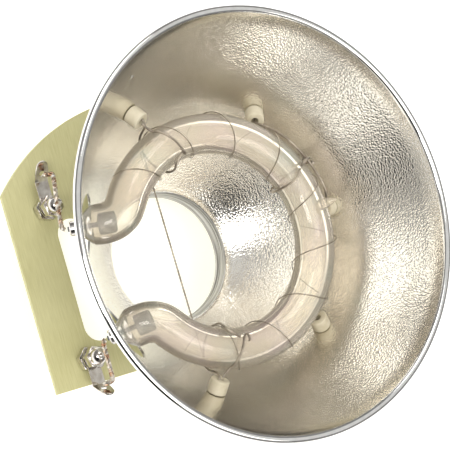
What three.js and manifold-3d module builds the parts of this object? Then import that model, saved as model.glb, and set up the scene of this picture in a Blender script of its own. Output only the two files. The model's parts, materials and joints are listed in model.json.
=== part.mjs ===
// Ring flash lamp head: a spun reflector bowl on an insulating terminal board, with a C-shaped glass
// flashtube held by wire clips in ceramic bushings. Millimetres, +Z up along the beam. The origin is on
// the optical axis, level with the tips of the contact pins. The two power terminals are on the -Y side.
// Ring angles are degrees counterclockwise from +X, seen from the mouth of the bowl.
import * as THREE from "three";
import { mergeVertices } from "three/addons/utils/BufferGeometryUtils.js";
import Module from "manifold-3d";

const wasm = await Module();
wasm.setup();

const GAP = 0.3; // running clearance between pieces that touch

// Reflector bowl
const RIM_RADIUS = 100;
const RIM_HEIGHT = 133;
const BEAD_RADIUS = 1.9;
const SHEET = 1.0;
const NECK_RADIUS = 31.5;
const NECK_FOLD_HEIGHT = 41.6;
const NECK_TAPER = 0.9;
const NECK_PROUD = 1.9;
const VENT_RADIUS = 0.8;
const VENT_ANGLE = 206;
const VENT_DEPTH = 18.6;

// Terminal board
const BOARD_FRONT = 37.4;
const BOARD_THICKNESS = 2.0;
const BOARD_HALF_WIDTH = 77.4;
const BOARD_FOOT = 48.7;
const BOARD_ARC_RADIUS = 106.4;
const BOARD_ARC_CENTRE = 25.6;
const SLOT_WIDTH = 16;
const SLOT_LENGTH = 60;
const SLOT_WEB = 5.2; // board left between the slot and the neck hole
const COLLAR_WIDTH = 5;
const LOCK_RING_WIDTH = 4;
const LOCK_RING_THICKNESS = 1.3;

// Flashtube
const TUBE_RADIUS = 9.45;
const TUBE_WALL = 1.3;
const RING_RADIUS = 50.8;
const RING_HEIGHT = 88.5;
const RING_TILT = 0.058;
const RING_OFFSET = 0.7;
const LEFT_END_ANGLE = 238;
const RIGHT_END_ANGLE = -51;
const ELBOW_RADIUS = 11;
const STUB_SPREAD = 0.12;
const STUB_REACH = -0.8;
const STUB_DROP = -0.58;
const STUB_LENGTH = 3;
const STUB_OPENING_RADIUS = 14.5;
const STEM_LENGTH = 9;
const STEM_TIP_RADIUS = 4.2;
const LEADOUT_LENGTH = 5;
const LEADOUT_RADIUS = 1.2;
const ELECTRODE_RADIUS = 5;
const ELECTRODE_LENGTH = 8;
const PIP_ANGLE = 94;
const PIP_RADIUS = 2.6;
const PIP_ROOT = 0.7;
const PIP_SHOULDER = 1.5;
const PIP_NECK_RADIUS = 1.4;
const PIP_NECK_HEIGHT = 5;
const PIP_LENGTH = 7.6;

// Ceramic bushings and wires
const BUSHING_ANGLES = [203, 142.5, 91.5, 41, -20.5];
const BUSHING_SEAT_RADII = [72.4, 69.4, 69.4, 69.4, 72.4]; // the three far ones are half under the glass
const BUSHING_RADIUS = 4.5;
const BUSHING_LENGTH = 7.2;
const BUSHING_BORE = 1.7;
const BUSHING_CHAMFER = 0.8;
const SPIGOT_RADIUS = 3;
const SPIGOT_LENGTH = 5;
const RETAINER_RADIUS = 5.5;
const RETAINER_THICKNESS = 1;
const CLIP_WIRE_RADIUS = 0.55;
const BUS_WIRE_RADIUS = 0.4;
const IGNITION_WIRE_RADIUS = 0.25;
const IGNITION_TURNS = 9;
const IGNITION_WIRE_SLACK = 0.45;
const CLIP_SIDE_STEP = 0.8;
const EYE_RADIUS = 1.3;
const EYE_SWING = 6;
const BUS_WIRE_TURN = 38;

// Terminals and contact pins
const TERMINAL_X = 36.7;
const TERMINAL_Y = -57.5;
const TRIGGER_TERMINAL_Y = 62;
const PIN_RADIUS = 2.5;
const PIN_SHOULDER_RADIUS = 4.5;
const PIN_SHOULDER_THICKNESS = 2.5;
const STUD_RADIUS = 2.4;
const NUT_FLATS = 9.5;
const BASE_NUT_FLATS = 10.5;
const BASE_NUT_HEIGHT = 3.6;
const LUG_THICKNESS = 0.8;
const LUG_WIDTH = 8;
const LUG_FLAT = 13;
const LUG_TAB = 12;
const LUG_HOLE_RUN = 4.5;
const LUG_HOLE_RADIUS = 1.4;
const WASHER_RADIUS = 5.15;
const WASHER_THICKNESS = 0.9;
const CAP_NUT_HEX = 4;
const DOME_SKIRT = 0.8;
const DOME_RADIUS = 4.1;
const LEAD_RADIUS = 1.3;
const TRIGGER_LEAD_RADIUS = 1;

// Derived heights and radii
const BOARD_BACK = BOARD_FRONT - BOARD_THICKNESS;
const NECK_END = BOARD_BACK - NECK_PROUD;
const NECK_END_RADIUS = NECK_RADIUS - NECK_TAPER;
const LIP_RADIUS = RIM_RADIUS - 2 * BEAD_RADIUS;
const BOWL_DEPTH = RIM_HEIGHT - BEAD_RADIUS - NECK_FOLD_HEIGHT;
const BOWL_LATUS_RECTUM = (LIP_RADIUS ** 2 - NECK_RADIUS ** 2) / BOWL_DEPTH;
const STUD_HOLE_RADIUS = STUD_RADIUS + GAP;

// How far from the middle of the glass section each wire runs
const IGNITION_REACH = TUBE_RADIUS + IGNITION_WIRE_RADIUS + IGNITION_WIRE_SLACK;
const CLIP_REACH = IGNITION_REACH + IGNITION_WIRE_RADIUS + GAP + CLIP_WIRE_RADIUS;
const WIRE_PITCH = 2 * CLIP_WIRE_RADIUS + GAP;

const CHROME = { color: 0xc9c6bf, roughness: 0.18, metalness: 1 };
const STEEL_WIRE = { color: 0x8d8170, roughness: 0.35, metalness: 1 };
const CERAMIC = { color: 0xd9cfb2, roughness: 0.6, metalness: 0 };
const GLASS = { color: 0xdccfb8, roughness: 0.05, metalness: 0, transparent: true, opacity: 0.45 };
const EPOXY_BOARD = { color: 0xd6d094, roughness: 0.5, metalness: 0 };
const ALUMINIUM = { color: 0xb5ae9f, roughness: 0.35, metalness: 1 };
const TUNGSTEN = { color: 0x6d6d6c, roughness: 0.45, metalness: 1 };
const COPPER_BRAID = { color: 0xa98f74, roughness: 0.4, metalness: 1 };
const FIBRE = { color: 0x4b4038, roughness: 0.8, metalness: 0 };

const lamp = new THREE.Group();
const vector = (x, y, z) => new THREE.Vector3(x, y, z);
const radians = THREE.MathUtils.degToRad;

function addPart(name, geometry, finish, parent = lamp) {
  const mesh = new THREE.Mesh(geometry, new THREE.MeshStandardMaterial(finish));
  mesh.name = name;
  parent.add(mesh);
  return mesh;
}

// A geometry, moved by a matrix, as a manifold solid.
function solid(geometry, matrix = new THREE.Matrix4()) {
  const copy = geometry.clone().applyMatrix4(matrix);
  copy.deleteAttribute("normal");
  copy.deleteAttribute("uv");
  const merged = mergeVertices(copy, 1e-4);
  return new wasm.Manifold(
    new wasm.Mesh({
      numProp: 3,
      vertProperties: merged.attributes.position.array,
      triVerts: new Uint32Array(merged.index.array),
    }),
  );
}

function geometryOf(manifold) {
  const mesh = manifold.getMesh();
  const geometry = new THREE.BufferGeometry();
  geometry.setAttribute("position", new THREE.BufferAttribute(mesh.vertProperties, 3));
  geometry.setIndex(new THREE.BufferAttribute(mesh.triVerts, 1));
  geometry.computeVertexNormals();
  return geometry;
}

// A matrix that puts a piece built along +Z at a point, pointing along a direction.
function placed(origin, direction) {
  const turn = new THREE.Quaternion().setFromUnitVectors(vector(0, 0, 1), direction.clone().normalize());
  return new THREE.Matrix4().compose(origin, turn, vector(1, 1, 1));
}

function rod(radius, bottom, top, segments = 20) {
  const geometry = new THREE.CylinderGeometry(radius, radius, top - bottom, segments);
  return geometry.rotateX(Math.PI / 2).translate(0, 0, (top + bottom) / 2);
}

// A lathe round Z from [radius, height] pairs that run counterclockwise in the (radius, height) plane.
function turned(profile, segments = 24) {
  const points = profile.map(([radius, height]) => new THREE.Vector2(radius, height));
  return new THREE.LatheGeometry(points, segments).rotateX(Math.PI / 2);
}

function washer(inner, outer, bottom, top, segments = 24) {
  return turned([[inner, bottom], [outer, bottom], [outer, top], [inner, top], [inner, bottom]], segments);
}

function hexOutline(flats) {
  const shape = new THREE.Shape();
  for (let corner = 0; corner < 6; corner++) {
    const angle = radians(60 * corner + 15);
    const reach = flats / Math.sqrt(3);
    const x = reach * Math.cos(angle);
    const y = reach * Math.sin(angle);
    if (corner === 0) shape.moveTo(x, y);
    else shape.lineTo(x, y);
  }
  return shape.closePath();
}

function hexNut(flats, bore, height) {
  const shape = hexOutline(flats);
  shape.holes.push(new THREE.Path().absarc(0, 0, bore, 0, 2 * Math.PI, true));
  return new THREE.ExtrudeGeometry(shape, { depth: height, bevelEnabled: false, curveSegments: 5 });
}

// A round wire or tube along points, with an optional bore.
function swept(points, radius, sides, steps, bore = 0) {
  const section = new THREE.Shape().absarc(0, 0, radius, 0, 2 * Math.PI, false);
  if (bore > 0) section.holes.push(new THREE.Path().absarc(0, 0, bore, 0, 2 * Math.PI, true));
  const path = new THREE.CatmullRomCurve3(points, false, "centripetal");
  const options = { steps, extrudePath: path, curveSegments: sides / 2, bevelEnabled: false };
  return new THREE.ExtrudeGeometry(section, options);
}

const outward = (angle) => vector(Math.cos(radians(angle)), Math.sin(radians(angle)), 0);
const along = (angle) => vector(-Math.sin(radians(angle)), Math.cos(radians(angle)), 0);

// Height and slope of the bowl's inner surface, a paraboloid from the neck fold to the lip.
const bowlHeight = (radius) => NECK_FOLD_HEIGHT + (radius ** 2 - NECK_RADIUS ** 2) / BOWL_LATUS_RECTUM;
const bowlSlope = (radius) => (2 * radius) / BOWL_LATUS_RECTUM;

// The inward normal of the bowl at a radius and angle.
function bowlNormal(radius, angle) {
  const slope = bowlSlope(radius);
  return outward(angle).multiplyScalar(-slope).add(vector(0, 0, 1)).normalize();
}

function bowlPoint(radius, angle) {
  return outward(angle).multiplyScalar(radius).setZ(bowlHeight(radius));
}

// The centre of the glass ring at an angle. The ring leans slightly and sits slightly off the axis.
function ringPoint(angle, radius = RING_RADIUS, lift = 0) {
  const point = outward(angle).multiplyScalar(radius);
  return vector(point.x + RING_OFFSET, point.y, RING_HEIGHT + RING_TILT * point.y + lift);
}

// Points round the glass section at a ring angle: 0 is the outer side, 90 the front, 180 the inner side.
function roundGlass(angle, turn, reach) {
  const swing = radians(turn);
  return ringPoint(angle, RING_RADIUS + reach * Math.cos(swing), reach * Math.sin(swing));
}

// The way each end of the tube leaves the ring, through the bowl's wall.
const stubDirection = (side) => vector(STUB_SPREAD * side, STUB_REACH, STUB_DROP).normalize();

// The bend from the ring to the stub, as points on a circular arc.
function elbow(endAngle, side) {
  const start = ringPoint(endAngle);
  const heading = along(endAngle).multiplyScalar(-side);
  const leaving = stubDirection(side);
  const axis = heading.clone().cross(leaving).normalize();
  const inward = axis.clone().cross(heading);
  const centre = start.clone().addScaledVector(inward, ELBOW_RADIUS);
  const sweep = heading.angleTo(leaving);
  const points = [];
  for (let step = 1; step <= 4; step++) {
    const spoke = inward.clone().multiplyScalar(-ELBOW_RADIUS).applyAxisAngle(axis, (sweep * step) / 4);
    points.push(centre.clone().add(spoke));
  }
  return points;
}

const tubeEnds = [
  { name: "left", side: -1, angle: LEFT_END_ANGLE },
  { name: "right", side: 1, angle: RIGHT_END_ANGLE },
];
for (const end of tubeEnds) {
  end.direction = stubDirection(end.side);
  end.bend = elbow(end.angle, end.side);
  end.tip = end.bend.at(-1).clone().addScaledVector(end.direction, STUB_LENGTH);
}

function bushingFrame(angle) {
  const radius = BUSHING_SEAT_RADII[BUSHING_ANGLES.indexOf(angle)];
  return { seat: bowlPoint(radius, angle), normal: bowlNormal(radius, angle) };
}

function makeBowl() {
  const inner = [];
  const outer = [];
  const rings = 7;
  for (let step = 0; step <= rings; step++) {
    const radius = THREE.MathUtils.lerp(NECK_RADIUS, LIP_RADIUS, step / rings);
    const slope = bowlSlope(radius);
    const length = Math.hypot(slope, 1);
    inner.push([radius, bowlHeight(radius)]);
    outer.push([radius + (SHEET * slope) / length, bowlHeight(radius) - SHEET / length]);
  }
  const bead = [];
  for (let angle = 180; angle >= -60; angle -= 40) {
    const swing = radians(angle);
    const centre = RIM_RADIUS - BEAD_RADIUS;
    bead.push([centre + BEAD_RADIUS * Math.cos(swing), RIM_HEIGHT + BEAD_RADIUS * Math.sin(swing)]);
  }
  const neckIn = [NECK_END_RADIUS, NECK_END];
  const neckOut = [NECK_END_RADIUS + SHEET, NECK_END];
  const shoulder = [NECK_RADIUS + SHEET, NECK_FOLD_HEIGHT - SHEET];
  const profile = [neckIn, neckOut, shoulder, ...outer.slice(1, -1), ...bead.reverse()];
  profile.push(...inner.reverse().slice(1), neckIn);
  let bowl = solid(turned(profile, 44));
  for (const end of tubeEnds) {
    const matrix = placed(end.tip, end.direction);
    bowl = bowl.subtract(solid(rod(STUB_OPENING_RADIUS, -6, 40, 18), matrix));
  }
  for (const angle of BUSHING_ANGLES) {
    const { seat, normal } = bushingFrame(angle);
    bowl = bowl.subtract(solid(rod(SPIGOT_RADIUS + GAP, -6, 6, 10), placed(seat, normal)));
  }
  const ventRise = RIM_HEIGHT - VENT_DEPTH - NECK_FOLD_HEIGHT;
  const ventRadius = Math.sqrt(ventRise * BOWL_LATUS_RECTUM + NECK_RADIUS ** 2);
  const vent = placed(bowlPoint(ventRadius, VENT_ANGLE), bowlNormal(ventRadius, VENT_ANGLE));
  bowl = bowl.subtract(solid(rod(VENT_RADIUS, -5, 5, 6), vent));
  addPart("reflector_bowl", geometryOf(bowl), ALUMINIUM);
}

const terminals = [
  { name: "left", x: -TERMINAL_X, y: TERMINAL_Y, turn: 180, fold: 38 },
  { name: "right", x: TERMINAL_X, y: TERMINAL_Y, turn: 0, fold: 58 },
  { name: "trigger", x: 0, y: TRIGGER_TERMINAL_Y, turn: 0, fold: 38 },
];

function makeBoard() {
  const shape = new THREE.Shape();
  const spread = Math.asin(BOARD_HALF_WIDTH / BOARD_ARC_RADIUS);
  shape.moveTo(BOARD_FOOT, -BOARD_HALF_WIDTH);
  shape.lineTo(BOARD_FOOT, BOARD_HALF_WIDTH);
  shape.absarc(BOARD_ARC_CENTRE, 0, BOARD_ARC_RADIUS, Math.PI - spread, Math.PI + spread, false);
  shape.closePath();
  const neckHole = NECK_RADIUS + SHEET + GAP;
  shape.holes.push(new THREE.Path().absarc(0, 0, neckHole, 0, 2 * Math.PI, true));
  for (const { x, y } of terminals) {
    shape.holes.push(new THREE.Path().absarc(x, y, STUD_HOLE_RADIUS, 0, 2 * Math.PI, true));
  }
  const slotY = -(neckHole + SLOT_WEB + SLOT_WIDTH / 2);
  const half = SLOT_LENGTH / 2 - SLOT_WIDTH / 2;
  const slot = new THREE.Path();
  slot.absarc(half, slotY, SLOT_WIDTH / 2, Math.PI / 2, -Math.PI / 2, true);
  slot.absarc(-half, slotY, SLOT_WIDTH / 2, -Math.PI / 2, -1.5 * Math.PI, true);
  slot.closePath();
  shape.holes.push(slot);
  const options = { depth: BOARD_THICKNESS, bevelEnabled: false, curveSegments: 14 };
  const board = new THREE.ExtrudeGeometry(shape, options).translate(0, 0, BOARD_BACK);
  addPart("terminal_board", board, EPOXY_BOARD);
}

function makeNeckRings() {
  const collarInner = NECK_RADIUS + SHEET + GAP;
  const collarTop = NECK_FOLD_HEIGHT - SHEET;
  const collar = washer(collarInner, collarInner + COLLAR_WIDTH, BOARD_FRONT + GAP, collarTop, 28);
  addPart("neck_spacer_collar", collar, FIBRE);
  const ringTop = BOARD_BACK - GAP;
  const ringFoot = ringTop - LOCK_RING_THICKNESS;
  const ring = washer(collarInner, collarInner + LOCK_RING_WIDTH, ringFoot, ringTop, 28);
  addPart("neck_lock_ring", ring, CHROME);
}

function makeFlashtube() {
  const points = [];
  const [left, right] = tubeEnds;
  points.push(left.tip, ...left.bend.slice().reverse());
  const arcSteps = 24;
  for (let step = 0; step <= arcSteps; step++) {
    points.push(ringPoint(THREE.MathUtils.lerp(left.angle, right.angle, step / arcSteps)));
  }
  points.push(...right.bend, right.tip);
  let glass = solid(swept(points, TUBE_RADIUS, 12, 42, TUBE_RADIUS - TUBE_WALL));
  const pip = [[0, -PIP_ROOT], [PIP_RADIUS, -PIP_ROOT], [PIP_RADIUS, PIP_SHOULDER]];
  pip.push([PIP_NECK_RADIUS, PIP_NECK_HEIGHT], [0, PIP_LENGTH]);
  const facing = outward(PIP_ANGLE).multiplyScalar(0.5).add(vector(0, 0, 1)).normalize();
  const seat = ringPoint(PIP_ANGLE).addScaledVector(facing, TUBE_RADIUS - 0.2);
  glass = glass.add(solid(turned(pip, 10), placed(seat, facing)));
  addPart("flashtube_glass", geometryOf(glass), GLASS);
}

function makeTubeEnd(end) {
  const group = new THREE.Group();
  group.applyMatrix4(placed(end.tip, end.direction));
  lamp.add(group);
  const wide = TUBE_RADIUS - 0.4;
  const profile = [[LEADOUT_RADIUS + GAP, GAP], [wide, GAP], [wide, 1.5]];
  profile.push([STEM_TIP_RADIUS + 1, STEM_LENGTH - 2], [STEM_TIP_RADIUS, STEM_LENGTH]);
  profile.push([LEADOUT_RADIUS + GAP, STEM_LENGTH], [LEADOUT_RADIUS + GAP, GAP]);
  addPart(end.name + "_end_stem", turned(profile, 14), GLASS, group);
  // The electrode is a cup on a tungsten rod that runs out through the stem.
  const back = -GAP;
  const face = back - ELECTRODE_LENGTH;
  const outerEnd = STEM_LENGTH + LEADOUT_LENGTH;
  const electrode = [[0, face], [ELECTRODE_RADIUS - 1, face], [ELECTRODE_RADIUS, face + 1]];
  electrode.push([ELECTRODE_RADIUS, back], [LEADOUT_RADIUS, back]);
  electrode.push([LEADOUT_RADIUS, outerEnd], [0, outerEnd]);
  addPart(end.name + "_electrode", turned(electrode, 12), TUNGSTEN, group);
  const cap = washer(LEADOUT_RADIUS + GAP, STEM_TIP_RADIUS - 0.6, STEM_LENGTH + GAP, outerEnd - 1, 12);
  addPart(end.name + "_end_cap", cap, CHROME, group);
}

function makeBushing(angle, index) {
  const { seat, normal } = bushingFrame(angle);
  const group = new THREE.Group();
  group.applyMatrix4(placed(seat, normal));
  lamp.add(group);
  const base = GAP + 0.1;
  const foot = -SHEET - SPIGOT_LENGTH;
  const profile = [[BUSHING_BORE, foot], [SPIGOT_RADIUS, foot], [SPIGOT_RADIUS, base]];
  profile.push([BUSHING_RADIUS, base], [BUSHING_RADIUS, BUSHING_LENGTH - BUSHING_CHAMFER]);
  profile.push([BUSHING_RADIUS - BUSHING_CHAMFER, BUSHING_LENGTH]);
  profile.push([BUSHING_BORE, BUSHING_LENGTH], [BUSHING_BORE, foot]);
  addPart(`ceramic_bushing_${index}`, turned(profile, 12), CERAMIC, group);
  const top = -SHEET - 2 * GAP;
  const retainer = washer(SPIGOT_RADIUS + GAP, RETAINER_RADIUS, top - RETAINER_THICKNESS, top, 12);
  addPart(`bushing_retainer_${index}`, retainer, CHROME, group);
}

function makeTerminal({ name, x, y, turn, fold }) {
  const group = new THREE.Group();
  group.position.set(x, y, 0);
  lamp.add(group);
  const shoulderTop = BOARD_BACK - GAP;
  const shoulderFoot = shoulderTop - PIN_SHOULDER_THICKNESS;
  const nutFoot = BOARD_FRONT + GAP;
  const lugFoot = nutFoot + BASE_NUT_HEIGHT + GAP;
  const washerFoot = lugFoot + LUG_THICKNESS + GAP;
  const capFoot = washerFoot + WASHER_THICKNESS + GAP;
  const studTop = capFoot + CAP_NUT_HEX;
  const pin = [[0, 0], [PIN_RADIUS * 0.5, PIN_RADIUS * 0.14], [PIN_RADIUS * 0.87, PIN_RADIUS * 0.5]];
  pin.push([PIN_RADIUS, PIN_RADIUS], [PIN_RADIUS, shoulderFoot], [PIN_SHOULDER_RADIUS, shoulderFoot]);
  pin.push([PIN_SHOULDER_RADIUS, shoulderTop], [STUD_RADIUS, shoulderTop]);
  pin.push([STUD_RADIUS, studTop], [0, studTop]);
  addPart(name + "_contact_pin", turned(pin, 12), CHROME, group);
  const baseNut = hexNut(BASE_NUT_FLATS, STUD_HOLE_RADIUS, BASE_NUT_HEIGHT).translate(0, 0, nutFoot);
  addPart(name + "_base_nut", baseNut, CHROME, group);
  const washerTop = washerFoot + WASHER_THICKNESS;
  const lockWasher = washer(STUD_HOLE_RADIUS, WASHER_RADIUS, washerFoot, washerTop, 14);
  addPart(name + "_washer", lockWasher, CHROME, group);
  // The cap nut is a hexagon under a dome, with a blind bore for the stud.
  const hex = new THREE.ExtrudeGeometry(hexOutline(NUT_FLATS), { depth: CAP_NUT_HEX, bevelEnabled: false });
  const brow = CAP_NUT_HEX + DOME_SKIRT;
  const dome = [[0, 0], [DOME_RADIUS, 0], [DOME_RADIUS, brow]];
  dome.push([DOME_RADIUS * 0.87, brow + DOME_RADIUS * 0.5]);
  dome.push([DOME_RADIUS * 0.5, brow + DOME_RADIUS * 0.87], [0, brow + DOME_RADIUS]);
  const bore = rod(STUD_HOLE_RADIUS, -1, CAP_NUT_HEX + GAP, 10);
  const capNut = solid(hex).add(solid(turned(dome, 12))).subtract(solid(bore));
  addPart(name + "_cap_nut", geometryOf(capNut).translate(0, 0, capFoot), CHROME, group);
  makeLug(name, group, lugFoot, turn, fold);
}

// A solder lug: a flat eye under the cap nut and a tab that is bent up, with a hole for the lead.
function makeLug(name, group, foot, turn, fold) {
  const eye = new THREE.Shape().absarc(0, 0, LUG_WIDTH / 2 + 0.6, 0, 2 * Math.PI, false);
  eye.holes.push(new THREE.Path().absarc(0, 0, STUD_HOLE_RADIUS, 0, 2 * Math.PI, true));
  const sheet = { depth: LUG_THICKNESS, bevelEnabled: false, curveSegments: 6 };
  const edge = LUG_WIDTH / 2 - 0.5;
  const arm = new THREE.Shape();
  arm.moveTo(STUD_HOLE_RADIUS + 1, -edge);
  arm.lineTo(LUG_FLAT, -edge);
  arm.lineTo(LUG_FLAT, edge);
  arm.lineTo(STUD_HOLE_RADIUS + 1, edge);
  const tab = new THREE.Shape();
  tab.moveTo(-0.3, -edge);
  tab.lineTo(LUG_TAB - 5, -edge);
  tab.absarc(LUG_TAB - 4, 0, edge - 0.5, -Math.PI / 2, Math.PI / 2, false);
  tab.lineTo(-0.3, edge);
  tab.holes.push(new THREE.Path().absarc(LUG_HOLE_RUN, 0, LUG_HOLE_RADIUS, 0, 2 * Math.PI, true));
  const bend = new THREE.Matrix4().makeTranslation(LUG_FLAT, 0, 0);
  bend.multiply(new THREE.Matrix4().makeRotationY(radians(-fold)));
  const lug = solid(new THREE.ExtrudeGeometry(eye, sheet))
    .add(solid(new THREE.ExtrudeGeometry(arm, sheet)))
    .add(solid(new THREE.ExtrudeGeometry(tab, sheet), bend));
  const mesh = addPart(name + "_solder_lug", geometryOf(lug), CHROME, group);
  mesh.position.z = foot;
  mesh.rotation.z = radians(turn);
}

// A point above a lug's tab, where the lead is soldered on.
function lugTabPoint({ x, y, turn, fold }, run, lift) {
  const foot = BOARD_FRONT + BASE_NUT_HEIGHT + 2 * GAP;
  const reach = LUG_FLAT + run * Math.cos(radians(fold)) - lift * Math.sin(radians(fold));
  const rise = run * Math.sin(radians(fold)) + lift * Math.cos(radians(fold));
  return outward(turn).multiplyScalar(reach).add(vector(x, y, foot + rise));
}

// Twisted leads from each lug to the metal cap on the tube's end, wholly held by the lamp.
function makeLead(end, terminal) {
  const lift = LUG_THICKNESS + LEAD_RADIUS + GAP;
  const capReach = STEM_LENGTH + LEADOUT_LENGTH + LEAD_RADIUS + GAP;
  const capEnd = end.tip.clone().addScaledVector(end.direction, capReach);
  const start = lugTabPoint(terminal, LUG_HOLE_RUN, lift);
  const points = [
    start,
    start.clone().add(vector(-0.5 * end.side, 3.5, 3)),
    start.clone().lerp(capEnd, 0.5).add(vector(3 * end.side, 1, 2)),
    capEnd.clone().add(vector(1.5 * end.side, 0, -2)),
    capEnd,
  ];
  addPart(end.name + "_lead", swept(points, LEAD_RADIUS, 6, 16), COPPER_BRAID);
}

// The lead from the trigger bushing, behind the bowl, to the trigger terminal.
function makeTriggerLead(terminal) {
  const { seat, normal } = bushingFrame(terminal.angle);
  const start = seat.clone().addScaledVector(normal, -SHEET - SPIGOT_LENGTH - 1);
  const end = lugTabPoint(terminal, LUG_HOLE_RUN, LUG_THICKNESS + TRIGGER_LEAD_RADIUS + GAP);
  const points = [
    start,
    start.clone().addScaledVector(normal, -4),
    start.clone().lerp(end, 0.5).add(vector(3, 4, -4)),
    end.clone().add(vector(1, 2, 3)),
    end,
  ];
  addPart("trigger_lead", swept(points, TRIGGER_LEAD_RADIUS, 6, 14), COPPER_BRAID);
}

// Wire clips. The back half runs from its anchor behind the glass to the inner side and up to the front.
// The front half hinges at the anchor, crosses the glass and ends in an eye over the back half's tip.
// The left and right clips are anchored in bushings, the far clip on the outer bus wire.
const clips = [
  { name: "left", anchor: BUSHING_ANGLES[0], closing: 196, eye: 112 },
  { name: "far", anchor: 115.5, closing: 116.5, eye: 84, onBusWire: true },
  { name: "right", anchor: BUSHING_ANGLES[4], closing: -13.5, eye: 104 },
];

// Where a clip's wire leaves its anchor: the mouth of the bushing's bore, or above the bus wire.
function clipAnchor({ anchor, onBusWire }, depth, sideways) {
  const step = along(anchor).multiplyScalar(sideways);
  if (onBusWire) return roundGlass(anchor, BUS_WIRE_TURN, CLIP_REACH + WIRE_PITCH).add(step);
  const { seat, normal } = bushingFrame(anchor);
  return seat.addScaledVector(normal, BUSHING_LENGTH + depth).add(step);
}

function makeClip(clip) {
  const first = clip.onBusWire ? BUS_WIRE_TURN + 16 : 30;
  const drift = (turn) => {
    const progress = THREE.MathUtils.clamp(turn / clip.eye, 0, 1);
    return THREE.MathUtils.lerp(clip.anchor, clip.closing, progress);
  };
  const front = [clipAnchor(clip, CLIP_WIRE_RADIUS + GAP, CLIP_SIDE_STEP)];
  for (let turn = first; turn < clip.eye - 8; turn += 18) {
    front.push(roundGlass(drift(turn) + 1, turn, CLIP_REACH + WIRE_PITCH * Math.min(1, turn / clip.eye)));
  }
  // The end is curled into a small eye that stands over the tip of the back half.
  const eyeReach = CLIP_REACH + WIRE_PITCH;
  front.push(roundGlass(clip.closing + 1, clip.eye, eyeReach));
  for (let curl = 1; curl <= 4; curl++) {
    const swing = radians(70 * curl);
    const turn = clip.eye + EYE_SWING * Math.sin(swing);
    const reach = eyeReach + EYE_RADIUS * (1 - Math.cos(swing));
    const point = roundGlass(clip.closing + 1, turn, reach);
    front.push(point.addScaledVector(along(clip.closing), 0.45 * curl));
  }
  addPart(clip.name + "_clip_front", swept(front, CLIP_WIRE_RADIUS, 6, 22), STEEL_WIRE);
  const back = [];
  if (clip.onBusWire) {
    back.push(clipAnchor(clip, 0, -WIRE_PITCH - 1));
    back.push(roundGlass(clip.anchor - 2, 12, CLIP_REACH + WIRE_PITCH));
  } else {
    back.push(clipAnchor(clip, -2, -CLIP_SIDE_STEP), clipAnchor(clip, 0.4, -CLIP_SIDE_STEP));
  }
  const tip = clip.eye + 6 - 360;
  const shift = clip.onBusWire ? -2 : -0.8;
  for (let turn = -44; turn > tip + 10; turn -= 22) {
    back.push(roundGlass(clip.anchor + shift, turn, CLIP_REACH));
  }
  back.push(roundGlass(clip.closing, tip, CLIP_REACH));
  addPart(clip.name + "_clip_back", swept(back, CLIP_WIRE_RADIUS, 6, 22), STEEL_WIRE);
}

// Bus wires. One lies along the outer side of the glass between two bushings, and carries the far clip.
// The other is strung across the neck, behind the glass, between the left and right clips.
function makeBusWires() {
  const mouth = (angle, depth) => {
    const { seat, normal } = bushingFrame(angle);
    return seat.addScaledVector(normal, BUSHING_LENGTH + depth);
  };
  const [, start, finish] = BUSHING_ANGLES;
  const points = [mouth(start, -2), mouth(start, 0.8), roundGlass(start - 4, 6, CLIP_REACH)];
  for (let step = 1; step < 6; step++) {
    const angle = THREE.MathUtils.lerp(start - 4, finish + 4, step / 6);
    points.push(roundGlass(angle, BUS_WIRE_TURN, CLIP_REACH));
  }
  points.push(roundGlass(finish + 4, 6, CLIP_REACH), mouth(finish, 0.8), mouth(finish, -2));
  addPart("outer_bus_wire", swept(points, CLIP_WIRE_RADIUS, 6, 20), STEEL_WIRE);
  const drop = CLIP_REACH + CLIP_WIRE_RADIUS + BUS_WIRE_RADIUS + GAP;
  const from = roundGlass(clips[0].anchor - 0.8, -90, drop);
  const to = roundGlass(clips[2].anchor - 0.8, -90, drop);
  const overhang = to.clone().sub(from).normalize().multiplyScalar(2);
  const strung = [from.clone().sub(overhang), from, to, to.clone().add(overhang)];
  addPart("cross_bus_wire", swept(strung, BUS_WIRE_RADIUS, 6, 6), STEEL_WIRE);
}

// Ignition wire: one fine wire wound round the glass from end to end.
function makeIgnitionWire() {
  const points = [];
  const first = LEFT_END_ANGLE - 10;
  const last = RIGHT_END_ANGLE + 12;
  const samples = IGNITION_TURNS * 13;
  for (let step = 0; step <= samples; step++) {
    const angle = THREE.MathUtils.lerp(first, last, step / samples);
    points.push(roundGlass(angle, (360 * IGNITION_TURNS * step) / samples, IGNITION_REACH));
  }
  addPart("ignition_wire", swept(points, IGNITION_WIRE_RADIUS, 4, samples), STEEL_WIRE);
}

makeBowl();
makeBoard();
makeNeckRings();
makeFlashtube();
tubeEnds.forEach(makeTubeEnd);
BUSHING_ANGLES.forEach((angle, index) => makeBushing(angle, index + 1));
terminals.forEach(makeTerminal);
makeLead(tubeEnds[0], terminals[0]);
makeLead(tubeEnds[1], terminals[1]);
makeTriggerLead({ ...terminals[2], angle: BUSHING_ANGLES[2] });
clips.forEach(makeClip);
makeBusWires();
makeIgnitionWire();

export default lamp;
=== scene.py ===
# Ring flash lamp head with its finished surfaces. Metres, +Z along the beam.
# Ring angles are degrees counterclockwise from +X, seen from the mouth of the bowl.
import json
import math
import bmesh
import bpy
from mathutils import Matrix, Vector


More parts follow.
